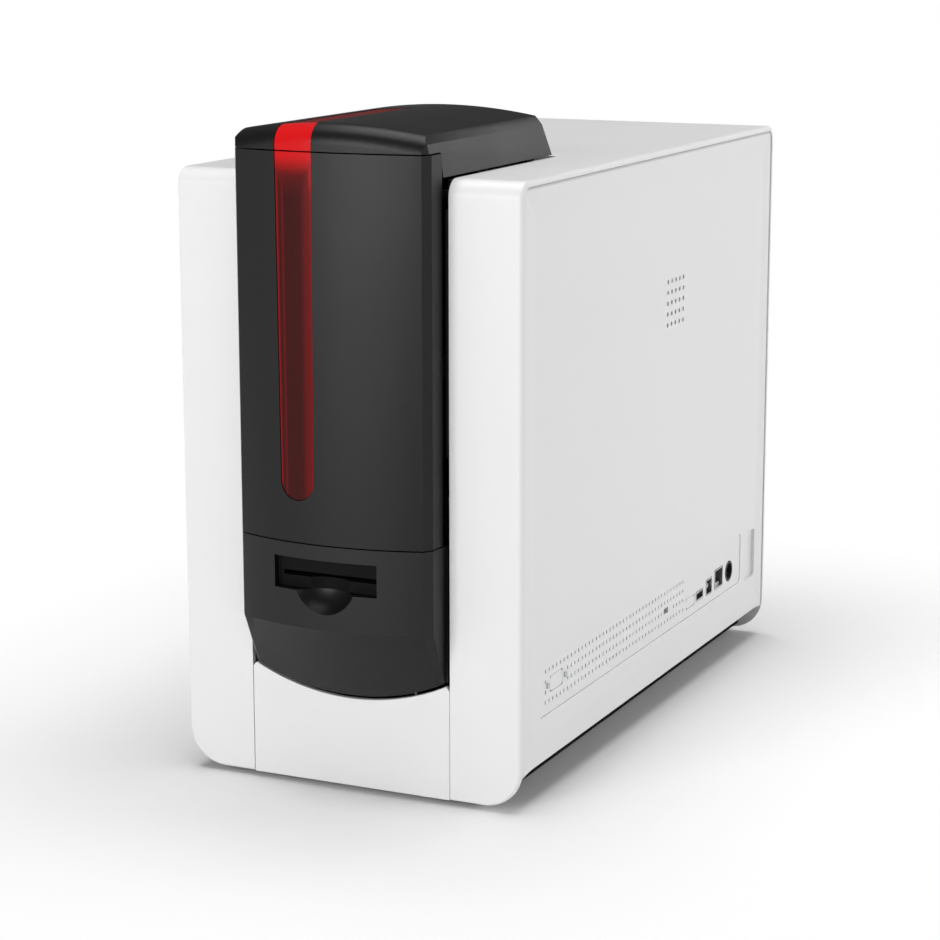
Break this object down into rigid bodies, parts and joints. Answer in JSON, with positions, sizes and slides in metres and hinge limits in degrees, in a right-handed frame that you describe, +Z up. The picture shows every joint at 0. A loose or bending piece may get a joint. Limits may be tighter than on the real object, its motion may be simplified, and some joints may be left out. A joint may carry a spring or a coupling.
{
  "type": "id card printer",
  "caption": "Desktop card printer: tall white casing, black curved door tower in front with a red window stripe, card exit slot with thumb notch, socket strip low on the right side.",
  "frame": {"origin": "middle of the bounding box's underside, on the ground plane under the printer", "axes": "X to the right as seen from the front, Y from the door towards the rear panel, Z up"},
  "size_m": [0.2066, 0.434, 0.3717],
  "materials": {
    "white_casing": "satin white moulded plastic",
    "black_tower": "fine-grained satin black plastic",
    "black_tray": "plain black plastic",
    "red_window": "glossy deep red, half see-through",
    "dark_socket": "black insulating plastic",
    "socket_metal": "plated sheet steel shell",
    "zinc_steel": "zinc-plated sheet steel",
    "magnet": "nickel-plated magnet",
    "circuit_board": "green solder mask",
    "foot_rubber": "soft black rubber",
    "roller_rubber": "dark grey rubber on a steel shaft",
    "belt_rubber": "black belt",
    "motor_case": "black painted stepper motor",
    "pulley_metal": "turned aluminium",
    "gear_plastic": "natural acetal",
    "grey_plastic": "mid-grey plastic",
    "ribbon_film": "dark wound film",
    "head_ceramic": "ceramic head on a heat sink",
    "fan_plastic": "black plastic"
  },
  "bodies": {
    "casing": {"casing_hood": "white_casing", "lower_front_panel": "white_casing", "left_side_panel": "white_casing", "right_side_panel": "white_casing", "rear_panel": "white_casing", "port_strip": "white_casing", "blanking_plates": "white_casing", "tower_frame": "black_tower", "lower_bezel": "black_tower", "base_tray": "black_tray", "power_socket": "dark_socket", "usb_host_socket": "socket_metal", "usb_device_socket": "socket_metal", "network_socket": "socket_metal", "board_bracket": "zinc_steel", "screws": "zinc_steel", "hinge_pins": "zinc_steel", "left_chassis_plate": "zinc_steel", "right_chassis_plate": "zinc_steel", "chassis_tie_bars": "zinc_steel", "door_magnet": "magnet", "main_board": "circuit_board", "rubber_feet": "foot_rubber", "feed_belt": "belt_rubber", "exit_belt": "belt_rubber", "flipper_belt": "belt_rubber", "feed_motor": "motor_case", "exit_motor": "motor_case", "flipper_motor": "motor_case", "ribbon_motor": "motor_case", "card_hopper": "grey_plastic", "feed_guide": "grey_plastic", "exit_guide": "grey_plastic", "ribbon_cartridge": "grey_plastic", "fan_frame": "fan_plastic"},
    "door": {"front_door": "black_tower", "door_window": "red_window"},
    "cover": {"top_cover": "black_tower", "cover_window": "red_window"},
    "card_weight": {"card_weight": "grey_plastic"},
    "pick_roller": {"pick_roller": "roller_rubber"},
    "feed_roller": {"feed_roller": "roller_rubber"},
    "platen_roller": {"platen_roller": "roller_rubber"},
    "transport_roller": {"transport_roller": "roller_rubber"},
    "cleaning_roller": {"cleaning_roller": "roller_rubber"},
    "transport_pinch_roller": {"transport_pinch_roller": "roller_rubber"},
    "exit_roller_front": {"exit_roller_front": "roller_rubber"},
    "exit_roller_middle": {"exit_roller_middle": "roller_rubber"},
    "exit_roller_rear": {"exit_roller_rear": "roller_rubber"},
    "feed_motor_pulley": {"feed_motor_pulley": "pulley_metal"},
    "exit_motor_pulley": {"exit_motor_pulley": "pulley_metal"},
    "flipper_motor_pulley": {"flipper_motor_pulley": "pulley_metal"},
    "ribbon_pinion": {"ribbon_pinion": "pulley_metal"},
    "idler_gear": {"idler_gear": "gear_plastic"},
    "supply_spool": {"ribbon_supply_spool": "ribbon_film"},
    "takeup_spool": {"ribbon_takeup_spool": "ribbon_film"},
    "print_head": {"print_head": "head_ceramic", "head_bracket": "zinc_steel"},
    "flipper": {"flipper": "grey_plastic"},
    "fan_rotor": {"fan_rotor": "fan_plastic"}
  },
  "joints": [
    {"name": "front_door_hinge", "type": "hinge", "parent": "casing", "child": "door", "pos_m": [-0.0507, -0.195, 0.25], "axis": [0, 0, -1], "range_deg": [0, 100]},
    {"name": "top_cover_hinge", "type": "hinge", "parent": "casing", "child": "cover", "pos_m": [0, -0.0585, 0.349], "axis": [-1, 0, 0], "range_deg": [0, 75]},
    {"name": "card_weight_slide", "type": "slide", "parent": "casing", "child": "card_weight", "axis": [0, 0, 1], "range_m": [0, 0.14]},
    {"name": "pick_spin", "type": "hinge", "parent": "casing", "child": "pick_roller", "pos_m": [0, -0.168, 0.1559], "axis": [1, 0, 0], "continuous": true},
    {"name": "feed_spin", "type": "hinge", "parent": "casing", "child": "feed_roller", "pos_m": [0, -0.096, 0.1559], "axis": [1, 0, 0], "continuous": true},
    {"name": "platen_spin", "type": "hinge", "parent": "casing", "child": "platen_roller", "pos_m": [0, -0.071, 0.1559], "axis": [1, 0, 0], "continuous": true},
    {"name": "transport_spin", "type": "hinge", "parent": "casing", "child": "transport_roller", "pos_m": [0, 0.002, 0.1559], "axis": [1, 0, 0], "continuous": true},
    {"name": "cleaning_spin", "type": "hinge", "parent": "casing", "child": "cleaning_roller", "pos_m": [0, -0.096, 0.1719], "axis": [1, 0, 0], "continuous": true},
    {"name": "transport_pinch_spin", "type": "hinge", "parent": "casing", "child": "transport_pinch_roller", "pos_m": [0, 0.002, 0.1703], "axis": [1, 0, 0], "continuous": true},
    {"name": "exit_front_spin", "type": "hinge", "parent": "casing", "child": "exit_roller_front", "pos_m": [0, -0.14, 0.1194], "axis": [1, 0, 0], "continuous": true},
    {"name": "exit_middle_spin", "type": "hinge", "parent": "casing", "child": "exit_roller_middle", "pos_m": [0, -0.062, 0.1194], "axis": [1, 0, 0], "continuous": true},
    {"name": "exit_rear_spin", "type": "hinge", "parent": "casing", "child": "exit_roller_rear", "pos_m": [0, 0.017, 0.1194], "axis": [1, 0, 0], "continuous": true},
    {"name": "feed_motor_spin", "type": "hinge", "parent": "casing", "child": "feed_motor_pulley", "pos_m": [0, -0.083, 0.092], "axis": [1, 0, 0], "continuous": true},
    {"name": "exit_motor_spin", "type": "hinge", "parent": "casing", "child": "exit_motor_pulley", "pos_m": [0, -0.048, 0.084], "axis": [1, 0, 0], "continuous": true},
    {"name": "ribbon_supply_spin", "type": "hinge", "parent": "casing", "child": "supply_spool", "pos_m": [0, -0.075, 0.292], "axis": [1, 0, 0], "continuous": true},
    {"name": "ribbon_takeup_spin", "type": "hinge", "parent": "casing", "child": "takeup_spool", "pos_m": [0, -0.075, 0.23], "axis": [1, 0, 0], "continuous": true},
    {"name": "idler_spin", "type": "hinge", "parent": "casing", "child": "idler_gear", "pos_m": [0, -0.05354, 0.21926], "axis": [1, 0, 0], "continuous": true},
    {"name": "pinion_spin", "type": "hinge", "parent": "casing", "child": "ribbon_pinion", "pos_m": [0, -0.04101, 0.213], "axis": [1, 0, 0], "continuous": true},
    {"name": "flipper_turn", "type": "hinge", "parent": "casing", "child": "flipper", "pos_m": [0, 0.112, 0.14615], "axis": [1, 0, 0], "range_deg": [0, 180]},
    {"name": "flipper_motor_spin", "type": "hinge", "parent": "casing", "child": "flipper_motor_pulley", "pos_m": [0, 0.112, 0.062], "axis": [1, 0, 0], "range_deg": [0, 360]},
    {"name": "print_head_lift", "type": "hinge", "parent": "casing", "child": "print_head", "pos_m": [0, -0.038, 0.182], "axis": [-1, 0, 0], "range_deg": [0, 12]},
    {"name": "fan_spin", "type": "hinge", "parent": "casing", "child": "fan_rotor", "pos_m": [0, 0.2, 0.235], "axis": [0, 1, 0], "continuous": true}
  ],
  "couplings": [
    {"joint": "pick_spin", "follows": "transport_spin", "ratio": 1},
    {"joint": "feed_spin", "follows": "transport_spin", "ratio": 1},
    {"joint": "platen_spin", "follows": "transport_spin", "ratio": 1},
    {"joint": "feed_motor_spin", "follows": "transport_spin", "ratio": 1},
    {"joint": "exit_front_spin", "follows": "exit_rear_spin", "ratio": 1},
    {"joint": "exit_middle_spin", "follows": "exit_rear_spin", "ratio": 1},
    {"joint": "exit_motor_spin", "follows": "exit_rear_spin", "ratio": 1},
    {"joint": "idler_spin", "follows": "ribbon_takeup_spin", "ratio": -2},
    {"joint": "pinion_spin", "follows": "ribbon_takeup_spin", "ratio": 2.6667},
    {"joint": "flipper_motor_spin", "follows": "flipper_turn", "ratio": 2}
  ]
}
